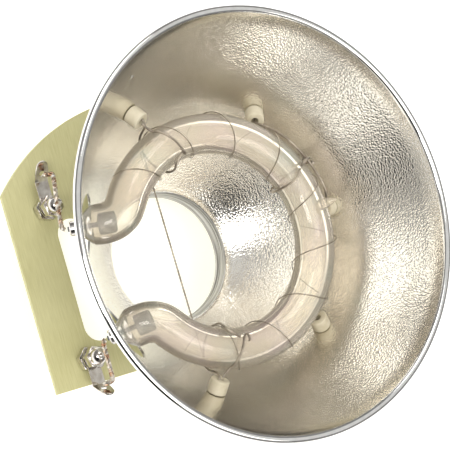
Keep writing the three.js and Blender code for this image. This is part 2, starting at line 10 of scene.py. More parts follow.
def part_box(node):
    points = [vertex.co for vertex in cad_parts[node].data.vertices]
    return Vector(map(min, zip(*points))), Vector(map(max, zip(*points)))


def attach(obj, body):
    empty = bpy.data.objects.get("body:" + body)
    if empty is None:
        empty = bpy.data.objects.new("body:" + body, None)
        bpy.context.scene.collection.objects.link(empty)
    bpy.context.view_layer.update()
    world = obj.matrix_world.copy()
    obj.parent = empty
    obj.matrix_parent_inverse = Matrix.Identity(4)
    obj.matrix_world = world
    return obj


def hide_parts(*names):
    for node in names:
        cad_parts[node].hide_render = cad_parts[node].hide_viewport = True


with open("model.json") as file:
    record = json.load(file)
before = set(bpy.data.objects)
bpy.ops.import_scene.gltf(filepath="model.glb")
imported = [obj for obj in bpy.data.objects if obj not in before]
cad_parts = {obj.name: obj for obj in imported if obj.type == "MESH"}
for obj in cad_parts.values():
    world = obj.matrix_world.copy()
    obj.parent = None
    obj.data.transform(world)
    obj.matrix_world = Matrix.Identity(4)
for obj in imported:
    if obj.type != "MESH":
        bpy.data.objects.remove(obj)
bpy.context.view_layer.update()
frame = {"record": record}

MM = 0.001
GAP = 0.3 * MM
SLOT_OF = {row["node"]: row["material_slot"] for row in frame["record"]["subparts"]}
BODIES = frame["record"]["behaviour"]["bodies"]
BODY_OF = {node: body for body, nodes in BODIES.items() for node in nodes}

# Reflector bowl
RIM_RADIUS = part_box("reflector_bowl")[1].x
BEAD_RADIUS = 1.9 * MM
RIM_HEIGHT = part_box("reflector_bowl")[1].z - BEAD_RADIUS
SHEET = 1.0 * MM
NECK_RADIUS = 31.5 * MM
NECK_FOLD = 41.6 * MM
NECK_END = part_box("reflector_bowl")[0].z
NECK_END_RADIUS = 30.6 * MM
NECK_FILLET = 1.6 * MM
LIP_RADIUS = RIM_RADIUS - 2 * BEAD_RADIUS
LATUS_RECTUM = (LIP_RADIUS**2 - NECK_RADIUS**2) / (RIM_HEIGHT - BEAD_RADIUS - NECK_FOLD)
STUB_OPENING_RADIUS = 14.5 * MM
VENT_RADIUS = 0.8 * MM
VENT_ANGLE = 206
VENT_DEPTH = 18.6 * MM

# Terminal board
BOARD_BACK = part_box("terminal_board")[0].z
BOARD_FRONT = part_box("terminal_board")[1].z
BOARD_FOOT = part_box("terminal_board")[1].x
BOARD_HALF_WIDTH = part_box("terminal_board")[1].y
BOARD_ARC_RADIUS = 106.4 * MM
SLOT_RADIUS = 8 * MM
SLOT_HALF_LENGTH = 30 * MM
SLOT_WEB = 5.2 * MM
EDGE_BREAK = 0.15 * MM

# Flashtube
TUBE_RADIUS = 9.45 * MM
TUBE_WALL = 1.3 * MM
RING_RADIUS = 50.8 * MM
RING_HEIGHT = 88.5 * MM
RING_TILT = 0.058
RING_OFFSET = 0.7 * MM
LEFT_END_ANGLE = 238
RIGHT_END_ANGLE = -51
ELBOW_RADIUS = 11 * MM
STUB_SPREAD, STUB_REACH, STUB_DROP = 0.12, -0.8, -0.58
STUB_LENGTH = 3 * MM
STEM_LENGTH = 9 * MM
STEM_TIP_RADIUS = 4.2 * MM
LEADOUT_LENGTH = 5 * MM
LEADOUT_RADIUS = 1.2 * MM
ELECTRODE_RADIUS = 5 * MM
ELECTRODE_LENGTH = 8 * MM
STEM_PROFILE = [(0.0, 1.0), (0.25, 0.97), (0.5, 0.80), (0.78, 0.56), (0.93, 0.46), (1.0, 0.40)]  # run, swell
PIP_ANGLE = 94
PIP_LEAN = 0.5  # outwards, for each unit towards the beam
PIP_SINK = 0.25 * MM
PIP_PROFILE = [(0, -0.4), (2.9, -0.4), (2.5, 0.5), (2.35, 1.4), (2.3, 2.4), (1.9, 3.8), (1.3, 5.2),
               (0.7, 6.6), (0, 7.3)]  # radius and height in millimetres

# Ceramic bushings and wires
BUSHING_ANGLES = [203, 142.5, 91.5, 41, -20.5]
BUSHING_SEAT_RADII = [72.4 * MM, 69.4 * MM, 69.4 * MM, 69.4 * MM, 72.4 * MM]
BUSHING_RADIUS = 4.5 * MM
BUSHING_LENGTH = 7.2 * MM
BUSHING_BORE = 1.7 * MM
BUSHING_LIP = 0.8 * MM
BUSHING_BREAK = 0.3 * MM
SPIGOT_RADIUS = 3 * MM
SPIGOT_LENGTH = 5 * MM
RETAINER_RADIUS = 5.5 * MM
RETAINER_THICKNESS = 1 * MM
RING_BREAK = 0.2 * MM
CLIP_WIRE_RADIUS = 0.55 * MM
BUS_WIRE_RADIUS = 0.4 * MM
IGNITION_WIRE_RADIUS = 0.25 * MM
IGNITION_TURNS = 9
IGNITION_REACH = TUBE_RADIUS + IGNITION_WIRE_RADIUS + 0.45 * MM
CLIP_REACH = IGNITION_REACH + IGNITION_WIRE_RADIUS + GAP + CLIP_WIRE_RADIUS
WIRE_PITCH = 2 * CLIP_WIRE_RADIUS + GAP
CLIP_SIDE_STEP = 0.8 * MM
BUS_WIRE_TURN = 38
EYE_RADIUS = 1.3 * MM
EYE_SWING = 6

# Terminals
PIN_RADIUS = 2.5 * MM
PIN_SHOULDER_RADIUS = 4.5 * MM
PIN_SHOULDER_THICKNESS = 2.5 * MM
PIN_BREAK = 0.3 * MM
STUD_RADIUS = 2.4 * MM
STUD_HOLE_RADIUS = STUD_RADIUS + GAP
NUT_FLATS = 9.5 * MM
NUT_TURN = 15
BASE_NUT_FLATS = 10.5 * MM
BASE_NUT_HEIGHT = 3.6 * MM
LUG_THICKNESS = 0.8 * MM
LUG_WIDTH = 8 * MM
LUG_FLAT = 13 * MM
LUG_TAB = 12 * MM
LUG_HOLE_RUN = 4.5 * MM
LUG_HOLE_RADIUS = 1.4 * MM
LUG_BEND_RUN = 1.2 * MM
WASHER_RADIUS = 5.15 * MM
WASHER_THICKNESS = 0.9 * MM
CAP_NUT_HEX = 4 * MM
DOME_SKIRT = 0.8 * MM
DOME_RADIUS = 4.1 * MM
LEAD_RADIUS = 1.3 * MM
TRIGGER_LEAD_RADIUS = 1.0 * MM
STRANDS = 3
STRAND_SHARE = 0.46  # of the lead's radius
STRAND_PITCH = 6 * MM
TERMINALS = {
    "left": {"x": -36.7 * MM, "y": -57.5 * MM, "turn": 180, "fold": 38},
    "right": {"x": 36.7 * MM, "y": -57.5 * MM, "turn": 0, "fold": 58},
    "trigger": {"x": 0, "y": 62 * MM, "turn": 0, "fold": 38},
}

# Camera and lights: angles in degrees round the lamp, distances in metres
CAMERA_AZIMUTH, CAMERA_ELEVATION, CAMERA_ROLL = 4.398, 56.224, 70.194
CAMERA_DISTANCE = 0.9349
CAMERA_AIM = Vector((-5.68, 4.93, 88.0)) * MM
CAMERA_LENS, CAMERA_SENSOR = 160, 36
LIGHT_AIM = Vector((0, 0, 0.08))
WHITE, WARM_WHITE = (1, 1, 1), (1, 0.98, 0.94)
LIGHTS = [  # name, azimuth, elevation, distance, size, watts, colour
    ("key", -95, 52, 1.6, (0.7, 0.8), 4.5, WHITE),
    ("side", 95, 57, 1.6, (1.0, 0.8), 4.2, WARM_WHITE),
    ("front", 5, 51, 1.6, (0.5, 0.6), 7, WHITE),
    ("top", 70, 77, 1.7, (1.2, 1.2), 10, WHITE),
]
CEILING_HEIGHT, CEILING_SIDE, CEILING_WATTS = 1.9, 3.6, 20
FLAG_AZIMUTH, FLAG_ELEVATION, FLAG_DISTANCE = 31, 31, 2.0
FLAG_WIDTH, FLAG_HEIGHT = 2.3, 1.6
FLOOR_REACH = 3


# --- Shader maths ---------------------------------------------------------------------------------

class Value:
    """A shader socket with arithmetic, so that a pattern reads as an expression."""

    def __init__(self, finish, socket):
        self.finish = finish
        self.socket = socket

    def _maths(self, operation, first, second=0.0):
        return self.finish.node("Math", {"operation": operation}, {0: first, 1: second})

    def __add__(self, other):
        return self._maths("ADD", self, other)

    def __mul__(self, other):
        return self._maths("MULTIPLY", self, other)

    def __pow__(self, other):
        return self._maths("POWER", self, other)

    __radd__ = __add__
    __rmul__ = __mul__


class Finish:
    """A material under construction."""

    def __init__(self, name):
        self.material = bpy.data.materials.new(name)
        self.material.use_nodes = True
        self.tree = self.material.node_tree
        self.tree.nodes.clear()
        self.place = self.node("TexCoord", output="Object")

    def node(self, kind, settings=None, values=None, output=0):
        made = self.tree.nodes.new("ShaderNode" + kind)
        for key, value in (settings or {}).items():
            if key == "stops":
                ramp = made.color_ramp.elements
                for index, (position, colour) in enumerate(value):
                    stop = ramp[index] if index < 2 else ramp.new(position)
                    stop.position = position
                    stop.color = (*colour, 1)
            else:
                setattr(made, key, value)
        for key, value in (values or {}).items():
            if isinstance(value, Value):
                self.tree.links.new(value.socket, made.inputs[key])
            else:
                made.inputs[key].default_value = value
        return Value(self, made.outputs[output])

    def stretched(self, scale):
        return self.node("Mapping", None, {"Vector": self.place, "Scale": scale})

    def noise(self, scale, detail=2, vector=None):
        values = {"Vector": vector or self.place, "Scale": scale, "Detail": detail}
        return self.node("TexNoise", None, values)

    def cells(self, scale, smoothness=0.6):
        values = {"Vector": self.place, "Scale": scale, "Smoothness": smoothness}
        return self.node("TexVoronoi", {"feature": "SMOOTH_F1"}, values)

    def ramp(self, factor, *stops):
        return self.node("ValToRGB", {"stops": stops}, {0: factor})

    def bump(self, height, strength, depth):
        return self.node("Bump", None, {"Height": height, "Strength": strength, "Distance": depth})

    def surface(self, **values):
        sockets = {key.replace("_", " "): value for key, value in values.items()}
        return self.node("BsdfPrincipled", None, sockets)

    def done(self, shader):
        result = self.tree.nodes.new("ShaderNodeOutputMaterial")
        self.tree.links.new(shader.socket, result.inputs["Surface"])
        return self.material


def peened_aluminium():
    finish = Finish("peened_aluminium")
    dents = finish.cells(1100)
    grain = finish.noise(2100, 2)
    patches = finish.noise(22, 3)
    colour = finish.ramp(patches, (0.3, (0.73, 0.70, 0.64)), (0.7, (0.86, 0.84, 0.785)))
    return finish.done(finish.surface(
        Base_Color=colour, Metallic=1.0, Roughness=0.13 + 0.08 * patches,
        Normal=finish.bump(dents + 0.35 * grain, 0.36, 0.28 * MM)))


def polished_aluminium():
    finish = Finish("polished_aluminium")
    scuffs = finish.noise(260, 4)
    colour = finish.ramp(scuffs, (0.35, (0.78, 0.77, 0.745)), (0.75, (0.86, 0.855, 0.835)))
    return finish.done(finish.surface(
        Base_Color=colour, Metallic=1.0, Roughness=0.06 + 0.12 * scuffs ** 3,
        Normal=finish.bump(scuffs, 0.05, 0.1 * MM)))


def spun_aluminium():
    finish = Finish("spun_aluminium")
    rings = finish.noise(1.0, 3, finish.stretched((30, 30, 1400)))
    colour = finish.ramp(rings, (0.3, (0.56, 0.545, 0.51)), (0.7, (0.70, 0.69, 0.655)))
    return finish.done(finish.surface(
        Base_Color=colour, Metallic=1.0, Roughness=0.26 + 0.16 * rings,
        Normal=finish.bump(rings, 0.25, 0.1 * MM)))


# The neck's inner wall: spun rings over a dark grey base colour, which is painted shade for the deep recess
# of the neck.
def neck_painted_shade_aluminium():
    finish = Finish("neck_painted_shade_aluminium")
    rings = finish.noise(1.0, 3, finish.stretched((30, 30, 1500)))
    colour = finish.ramp(rings, (0.35, (0.17, 0.165, 0.15)), (0.52, (0.36, 0.35, 0.33)),
                         (0.66, (0.60, 0.59, 0.57)))
    return finish.done(finish.surface(
        Base_Color=colour, Metallic=1.0, Roughness=0.22 + 0.12 * rings,
        Normal=finish.bump(rings, 0.2, 0.1 * MM)))


def epoxy_board():
    finish = Finish("epoxy_glass_board")
    fibres = finish.noise(1.0, 3, finish.stretched((120, 1500, 400)))
    cloud = finish.noise(35, 2)
    weave = finish.noise(900, 1)
    colour = finish.ramp(0.6 * fibres + 0.4 * cloud,
                         (0.35, (0.66, 0.62, 0.30)), (0.65, (0.76, 0.72, 0.39)))
    return finish.done(finish.surface(
        Base_Color=colour, Roughness=0.38 + 0.18 * cloud, Coat_Weight=0.15,
        Normal=finish.bump(fibres + 0.5 * weave, 0.12, 0.12 * MM)))


def tube_glass():
    finish = Finish("flashtube_glass")
    film = finish.noise(34, 2)
    bands = finish.noise(1.0, 2, finish.stretched((55, 55, 90)))
    tint = finish.ramp(bands, (0.30, (0.72, 0.79, 0.70)), (0.44, (0.84, 0.79, 0.66)),
                       (0.56, (0.86, 0.79, 0.67)), (0.72, (0.86, 0.74, 0.73)))
    fresnel = finish.node("Fresnel", None, {"IOR": 1.36})
    clear = finish.node("BsdfTransparent", None, {"Color": (0.985, 0.965, 0.93, 1)})
    shine = finish.node("BsdfGlossy", None, {"Color": (1, 0.98, 0.95, 1), "Roughness": 0.03})
    pane = finish.node("MixShader", None, {0: fresnel, 1: clear, 2: shine})
    deposit = finish.surface(Base_Color=tint, Roughness=0.25)
    share = 0.08 + 0.20 * film
    return finish.done(finish.node("MixShader", None, {0: share, 1: pane, 2: deposit}))


def glazed_ceramic():
    finish = Finish("glazed_ceramic")
    body = finish.noise(240, 4)
    stain = finish.noise(60, 2)
    colour = finish.ramp(0.4 * body + 0.6 * stain,
                         (0.32, (0.46, 0.40, 0.27)), (0.60, (0.62, 0.56, 0.42)))
    return finish.done(finish.surface(
        Base_Color=colour, Roughness=0.42 + 0.2 * body, Normal=finish.bump(body, 0.15, 0.1 * MM)))


def nickel_plate():
    finish = Finish("nickel_plate")
    haze = finish.noise(320, 4)
    colour = finish.ramp(haze, (0.35, (0.56, 0.515, 0.47)), (0.65, (0.80, 0.775, 0.74)))
    return finish.done(finish.surface(
        Base_Color=colour, Metallic=1.0, Roughness=0.09 + 0.20 * haze ** 2,
        Normal=finish.bump(haze, 0.10, 0.1 * MM)))


def steel_wire():
    finish = Finish("steel_wire")
    tarnish = finish.noise(180, 3)
    colour = finish.ramp(tarnish, (0.35, (0.17, 0.14, 0.11)), (0.68, (0.42, 0.37, 0.30)))
    return finish.done(finish.surface(
        Base_Color=colour, Metallic=0.9, Roughness=0.28 + 0.25 * tarnish,
        Normal=finish.bump(tarnish, 0.1, 0.05 * MM)))


def tungsten():
    finish = Finish("tungsten")
    sputter = finish.noise(420, 4)
    colour = finish.ramp(sputter, (0.3, (0.13, 0.135, 0.14)), (0.7, (0.27, 0.27, 0.27)))
    return finish.done(finish.surface(
        Base_Color=colour, Metallic=0.8, Roughness=0.45 + 0.2 * sputter,
        Normal=finish.bump(sputter, 0.3, 0.1 * MM)))


def copper_strands():
    finish = Finish("tinned_copper")
    wear = finish.noise(330, 3)
    colour = finish.ramp(wear, (0.36, (0.42, 0.23, 0.13)), (0.50, (0.58, 0.47, 0.36)),
                         (0.62, (0.78, 0.745, 0.68)))
    return finish.done(finish.surface(
        Base_Color=colour, Metallic=1.0, Roughness=0.18 + 0.2 * wear,
        Normal=finish.bump(wear, 0.1, 0.05 * MM)))


def vulcanised_fibre():
    finish = Finish("vulcanised_fibre")
    mottle = finish.noise(500, 4)
    colour = finish.ramp(mottle, (0.3, (0.055, 0.04, 0.03)), (0.7, (0.12, 0.095, 0.07)))
    return finish.done(finish.surface(
        Base_Color=colour, Roughness=0.7, Normal=finish.bump(mottle, 0.3, 0.1 * MM)))


FINISHES = {
    "peened_aluminium": peened_aluminium(),
    "polished_aluminium": polished_aluminium(),
    "spun_aluminium": spun_aluminium(),
    "neck_painted_shade_aluminium": neck_painted_shade_aluminium(),
    "epoxy_glass_board": epoxy_board(),
    "flashtube_glass": tube_glass(),
    "glazed_ceramic": glazed_ceramic(),
    "nickel_plate": nickel_plate(),
    "steel_wire": steel_wire(),
    "tungsten": tungsten(),
    "copper_braid": copper_strands(),
    "fibre": vulcanised_fibre(),
}


# --- Shapes ---------------------------------------------------------------------------------------

def outward(angle):
    return Vector((math.cos(math.radians(angle)), math.sin(math.radians(angle)), 0))


def along(angle):
    return Vector((-math.sin(math.radians(angle)), math.cos(math.radians(angle)), 0))


def mix(start, finish, share):
    return start + (finish - start) * share


def bowl_height(radius):
    return NECK_FOLD + (radius**2 - NECK_RADIUS**2) / LATUS_RECTUM


def bowl_seat(radius, angle):
    """A point of the bowl's inner surface and the normal there."""
    point = outward(angle) * radius
    point.z = bowl_height(radius)
    normal = outward(angle) * (-2 * radius / LATUS_RECTUM) + Vector((0, 0, 1))
    return point, normal.normalized()


def bushing_frame(angle):
    return bowl_seat(BUSHING_SEAT_RADII[BUSHING_ANGLES.index(angle)], angle)


def ring_point(angle, radius=RING_RADIUS, lift=0.0):
    point = outward(angle) * radius
    return Vector((point.x + RING_OFFSET, point.y, RING_HEIGHT + RING_TILT * point.y + lift))


def round_glass(angle, turn, reach):
    """A point round the glass section: turn 0 is the outer side, 90 the front, 180 the inner side."""
    swing = math.radians(turn)
    return ring_point(angle, RING_RADIUS + reach * math.cos(swing), reach * math.sin(swing))


def placed(origin, direction):
    """The matrix that puts a piece built along +Z at a point, along a direction."""
    return Matrix.Translation(origin) @ direction.to_track_quat("Z", "Y").to_matrix().to_4x4()


def new_object(name, mesh):
    piece = bpy.data.objects.new(name, mesh)
    bpy.context.scene.collection.objects.link(piece)
    return piece


def made_mesh(name, build):
    mesh = bpy.data.meshes.new(name)
    build.to_mesh(mesh)
    build.free()
    return mesh


def smooth(mesh, angle=35):
    mesh.shade_smooth()
    mesh.set_sharp_from_angle(angle=math.radians(angle))


def fitted(piece, *nodes):
    """Stands a finished piece for its CAD nodes: hides them, puts the piece on their body and, if it has no
    finish yet, gives it the finish of their slot.
    """
    if not piece.data.materials:
        piece.data.materials.append(FINISHES[SLOT_OF[nodes[0]]])
    smooth(piece.data)
    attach(piece, BODY_OF[nodes[0]])
    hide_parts(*nodes)


def spun(name, profile, matrix=Matrix(), steps=64, closed=True):
    """A piece turned round +Z from (radius, height) points, then placed."""
    build = bmesh.new()
    corners = [build.verts.new((radius, 0, height)) for radius, height in profile]
    edges = [build.edges.new(pair) for pair in zip(corners, corners[1:])]
    if closed:
        edges.append(build.edges.new((corners[-1], corners[0])))
    bmesh.ops.spin(build, geom=corners + edges, cent=(0, 0, 0), axis=(0, 0, 1),
                   angle=2 * math.pi, steps=steps, use_merge=True)
    bmesh.ops.remove_doubles(build, verts=build.verts, dist=1e-7)
    bmesh.ops.recalc_face_normals(build, faces=build.faces)
    bmesh.ops.transform(build, matrix=matrix, verts=build.verts)
    return new_object(name, made_mesh(name, build))


def meshed(name, curve):
    """A curve made into a mesh."""
    carrier = new_object(name, curve)
    graph = bpy.context.evaluated_depsgraph_get()
    mesh = bpy.data.meshes.new_from_object(carrier.evaluated_get(graph))
    bpy.data.objects.remove(carrier)
    bpy.data.curves.remove(curve)
    mesh.name = name
    return mesh


def drawn_wire(name, routes, radius, sides=3, spans=6, swells=None):
    """Round wire along smooth routes. swells scales the radius at each point."""
    curve = bpy.data.curves.new(name, "CURVE")
    curve.dimensions = "3D"
    curve.bevel_depth = radius
    curve.bevel_resolution = sides
    curve.resolution_u = spans
    curve.use_fill_caps = True
    for route in routes:
        spline = curve.splines.new("BEZIER")
        spline.bezier_points.add(len(route) - 1)
        for index, (point, place) in enumerate(zip(spline.bezier_points, route)):
            point.co = place
            point.handle_left_type = point.handle_right_type = "AUTO"
            point.radius = swells[index] if swells else 1
    mesh = meshed(name, curve)
    build = bmesh.new()
    build.from_mesh(mesh)
    bmesh.ops.remove_doubles(build, verts=build.verts, dist=1e-7)
    bmesh.ops.recalc_face_normals(build, faces=build.faces)
    build.to_mesh(mesh)
    build.free()
    return new_object(name, mesh)


def arc(x, y, radius, start, finish, steps):
    """Points round an arc, in degrees."""
    angles = [math.radians(mix(start, finish, step / steps)) for step in range(steps + 1)]
    return [(x + radius * math.cos(angle), y + radius * math.sin(angle)) for angle in angles]


def circle(x, y, radius, count):
    return arc(x, y, radius, 0, 360 * (count - 1) / count, count - 1)


def stamped(name, outlines, thickness, edge):
    """Sheet cut to an outline with holes, its lower face at zero, with broken edges."""
    curve = bpy.data.curves.new(name, "CURVE")
    curve.dimensions = "2D"
    curve.fill_mode = "BOTH"
    curve.extrude = thickness / 2 - edge
    curve.bevel_depth = edge
    curve.bevel_resolution = 1
    curve.offset = -edge
    for outline in outlines:
        spline = curve.splines.new("POLY")
        spline.points.add(len(outline) - 1)
        spline.use_cyclic_u = True
        for point, (x, y) in zip(spline.points, outline):
            point.co = (x, y, 0, 1)
    mesh = meshed(name, curve)
    mesh.transform(Matrix.Translation((0, 0, thickness / 2)))
    return new_object(name, mesh)


def cut(piece, *cutters):
    """Cuts solids out of a piece and applies the cuts."""
    for cutter in cutters:
        removal = piece.modifiers.new("cut", "BOOLEAN")
        removal.operation = "DIFFERENCE"
        removal.solver = "EXACT"
        removal.object = cutter
    graph = bpy.context.evaluated_depsgraph_get()
    mesh = bpy.data.meshes.new_from_object(piece.evaluated_get(graph))
    piece.modifiers.clear()
    piece.data = mesh
    for cutter in cutters:
        bpy.data.objects.remove(cutter)


def drill(radius, low, high, matrix, steps=48):
    """A solid rod to cut a hole with."""
    profile = [(0, low), (radius, low), (radius, high), (0, high)]
    return spun("drill", profile, matrix, steps, closed=False)


# --- Flashtube ends, shared by the bowl, glass, electrodes and leads --------------------------------

def elbow(end_angle, side):
    """The bend from the ring to the stub, and the way the stub points."""
    start = ring_point(end_angle)
    heading = along(end_angle) * -side
    leaving = Vector((STUB_SPREAD * side, STUB_REACH, STUB_DROP)).normalized()
    axis = heading.cross(leaving).normalized()
    inward = axis.cross(heading)
    centre = start + inward * ELBOW_RADIUS
    sweep = heading.angle(leaving)
    spokes = [Matrix.Rotation(sweep * step / 4, 3, axis) @ (-inward) for step in range(1, 5)]
    return [centre + spoke * ELBOW_RADIUS for spoke in spokes], leaving


ENDS = {}
for end_name, end_side, end_angle in (("left", -1, LEFT_END_ANGLE), ("right", 1, RIGHT_END_ANGLE)):
    bend, leaving = elbow(end_angle, end_side)
    tip = bend[-1] + leaving * STUB_LENGTH
    ENDS[end_name] = {"side": end_side, "bend": bend, "direction": leaving, "tip": tip,
                      "matrix": placed(tip, leaving)}


def make_bowl():
    rings = 40
    inner, outer = [], []
    for step in range(rings + 1):
        radius = mix(NECK_RADIUS + NECK_FILLET, LIP_RADIUS, step / rings)
        slope = 2 * radius / LATUS_RECTUM
        length = math.hypot(slope, 1)
        inner.append((radius, bowl_height(radius)))
        outer.append((radius + SHEET * slope / length, bowl_height(radius) - SHEET / length))
    bead_centre = RIM_RADIUS - BEAD_RADIUS
    bead = arc(bead_centre, RIM_HEIGHT, BEAD_RADIUS, -60, 180, 20)
    fold = [(NECK_RADIUS - 0.1 * MM, NECK_FOLD - 1.3 * MM),
            (NECK_RADIUS + 0.4 * MM, NECK_FOLD - 0.2 * MM)]
    neck_in = [(NECK_END_RADIUS, NECK_END)]
    neck_out = [(NECK_END_RADIUS + SHEET, NECK_END), (NECK_RADIUS + SHEET, NECK_FOLD - SHEET - 0.6 * MM)]
    profile = neck_in + neck_out + outer[1:-1] + bead + inner[::-1][1:] + fold[::-1]
    bowl = spun("spun_bowl", profile, steps=192)
    cutters = [drill(STUB_OPENING_RADIUS, -6 * MM, 40 * MM, end["matrix"]) for end in ENDS.values()]
    for angle in BUSHING_ANGLES:
        seat, normal = bushing_frame(angle)
        cutters.append(drill(SPIGOT_RADIUS + GAP, -6 * MM, 6 * MM, placed(seat, normal), 24))
    vent_radius = math.sqrt((RIM_HEIGHT - VENT_DEPTH - NECK_FOLD) * LATUS_RECTUM + NECK_RADIUS**2)
    seat, normal = bowl_seat(vent_radius, VENT_ANGLE)
    cutters.append(drill(VENT_RADIUS, -5 * MM, 5 * MM, placed(seat, normal), 16))
    cut(bowl, *cutters)
    for name in ("peened_aluminium", "polished_aluminium", "spun_aluminium", "neck_painted_shade_aluminium"):
        bowl.data.materials.append(FINISHES[name])
    for face in bowl.data.polygons:
        radius = math.hypot(face.center.x, face.center.y)
        on_bead = math.hypot(radius - bead_centre, face.center.z - RIM_HEIGHT) < BEAD_RADIUS * 1.05
        in_neck = face.center.z < NECK_FOLD + 0.2 * MM
        faces_in = face.normal.x * face.center.x + face.normal.y * face.center.y < 0
        # Faces inside the neck get the finish with painted shade; the rest of the bowl gets plain aluminium
        # finishes.
        face.material_index = 1 if on_bead else 2 if not faces_in else 3 if in_neck else 0
    fitted(bowl, "reflector_bowl")


def make_board():
    arc_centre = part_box("terminal_board")[0].x + BOARD_ARC_RADIUS
    spread = math.degrees(math.asin(BOARD_HALF_WIDTH / BOARD_ARC_RADIUS))
    outline = [(BOARD_FOOT, -BOARD_HALF_WIDTH), (BOARD_FOOT, BOARD_HALF_WIDTH)]
    outline += arc(arc_centre, 0, BOARD_ARC_RADIUS, 180 - spread, 180 + spread, 60)
    neck_hole = NECK_RADIUS + SHEET + GAP
    holes = [circle(0, 0, neck_hole, 60)]
    holes += [circle(row["x"], row["y"], STUD_HOLE_RADIUS, 24) for row in TERMINALS.values()]
    slot_y = -(neck_hole + SLOT_WEB + SLOT_RADIUS)
    reach = SLOT_HALF_LENGTH - SLOT_RADIUS
    slot = arc(reach, slot_y, SLOT_RADIUS, -90, 90, 24)
    slot += arc(-reach, slot_y, SLOT_RADIUS, 90, 270, 24)
    holes.append(slot)
    board = stamped("laminate_board", [outline] + holes, BOARD_FRONT - BOARD_BACK, EDGE_BREAK)
    board.data.transform(Matrix.Translation((0, 0, BOARD_BACK)))
    fitted(board, "terminal_board")


def broken_ring(inner, outer, low, high):
    """The section of a flat ring with its outer edges broken."""
    return [(inner, low), (outer - RING_BREAK, low), (outer, low + RING_BREAK), (outer, high - RING_BREAK),
            (outer - RING_BREAK, high), (inner, high)]


def make_neck_rings():
    for node in ("neck_spacer_collar", "neck_lock_ring"):
        low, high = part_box(node)
        inner = NECK_RADIUS + SHEET + GAP
        profile = broken_ring(inner, high.x, low.z, high.z)
        fitted(spun(node + "_turned", profile, steps=96), node)


def make_flashtube():
    left, right = ENDS["left"], ENDS["right"]
    stems = {side: [end["tip"] + end["direction"] * STEM_LENGTH * run for run, _ in STEM_PROFILE]
             for side, end in ENDS.items()}
    stem_swell = [swell for _, swell in STEM_PROFILE]
    arc_steps = 44
    ring = [ring_point(mix(LEFT_END_ANGLE, RIGHT_END_ANGLE, step / arc_steps))
            for step in range(arc_steps + 1)]
    route = stems["left"][::-1] + left["bend"][::-1] + ring + right["bend"] + stems["right"]
    middle = len(route) - 2 * len(STEM_PROFILE)
    swells = stem_swell[::-1] + [1.0] * middle + stem_swell
    outside = drawn_wire("glass_tube", [route], TUBE_RADIUS, sides=10, spans=4, swells=swells)
    facing = (outward(PIP_ANGLE) * PIP_LEAN + Vector((0, 0, 1))).normalized()
    seat = ring_point(PIP_ANGLE) + facing * (TUBE_RADIUS - PIP_SINK)
    pip_glass = spun("glass_pip", [(radius * MM, height * MM) for radius, height in PIP_PROFILE],
                     placed(seat, facing), 32, closed=False)
    wall = outside.modifiers.new("wall", "SOLIDIFY")
    wall.thickness = TUBE_WALL
    wall.offset = -1
    graph = bpy.context.evaluated_depsgraph_get()
    tube_mesh = bpy.data.meshes.new_from_object(outside.evaluated_get(graph))
    outside.modifiers.clear()
    outside.data = tube_mesh
    build = bmesh.new()
    build.from_mesh(tube_mesh)
    build.from_mesh(pip_glass.data)
    build.to_mesh(tube_mesh)
    build.free()
    bpy.data.objects.remove(pip_glass)
    fitted(outside, "flashtube_glass", "left_end_stem", "right_end_stem")


def make_tube_ends():
    for name, end in ENDS.items():
        face = -GAP - ELECTRODE_LENGTH
        far = STEM_LENGTH + LEADOUT_LENGTH
        profile = [(0, face + 0.8 * MM), (ELECTRODE_RADIUS * 0.5, face + 0.6 * MM)]
        profile += arc(ELECTRODE_RADIUS - MM, face + MM, MM, -90, 0, 5)
        profile += [(ELECTRODE_RADIUS, -GAP - 0.5 * MM), (ELECTRODE_RADIUS - 0.5 * MM, -GAP)]
        profile += [(LEADOUT_RADIUS, -GAP), (LEADOUT_RADIUS, far), (0, far)]
        cup = spun(name + "_electrode_cup", profile, end["matrix"], 40, closed=False)
        fitted(cup, name + "_electrode")
        inner, outer = LEADOUT_RADIUS + GAP, STEM_TIP_RADIUS - 0.6 * MM
        low, high = STEM_LENGTH + GAP, far - MM
        cap = [(inner, low), (outer, low), (outer, high - 0.6 * MM), (outer - 0.6 * MM, high),
               (inner, high)]
        fitted(spun(name + "_ferrule", cap, end["matrix"], 40), name + "_end_cap")


def make_bushings():
    for index, angle in enumerate(BUSHING_ANGLES, 1):
        matrix = placed(*bushing_frame(angle))
        foot = -SHEET - SPIGOT_LENGTH
        base = GAP + 0.1 * MM
        profile = [(BUSHING_BORE, foot), (SPIGOT_RADIUS, foot), (SPIGOT_RADIUS, base)]
        profile += arc(BUSHING_RADIUS - BUSHING_BREAK, base + BUSHING_BREAK, BUSHING_BREAK, -90, 0, 3)
        profile += arc(BUSHING_RADIUS - BUSHING_LIP, BUSHING_LENGTH - BUSHING_LIP, BUSHING_LIP, 0, 90, 6)
        rounding = BUSHING_LENGTH - BUSHING_BREAK
        profile += arc(BUSHING_BORE + BUSHING_BREAK, rounding, BUSHING_BREAK, 90, 180, 3)
        node = f"ceramic_bushing_{index}"
        fitted(spun(node + "_turned", profile, matrix, 40), node)
        top = -SHEET - 2 * GAP
        ring = broken_ring(SPIGOT_RADIUS + GAP, RETAINER_RADIUS, top - RETAINER_THICKNESS, top)
        node = f"bushing_retainer_{index}"
        fitted(spun(node + "_stamped", ring, matrix, 32), node)


# --- Terminals ------------------------------------------------------------------------------------

def hexagon(flats):
    return arc(0, 0, flats / math.sqrt(3), NUT_TURN, NUT_TURN + 300, 5)


def joined(name, *pieces):
    build = bmesh.new()
    for piece in pieces:
        build.from_mesh(piece.data)
        bpy.data.objects.remove(piece)
    return new_object(name, made_mesh(name, build))


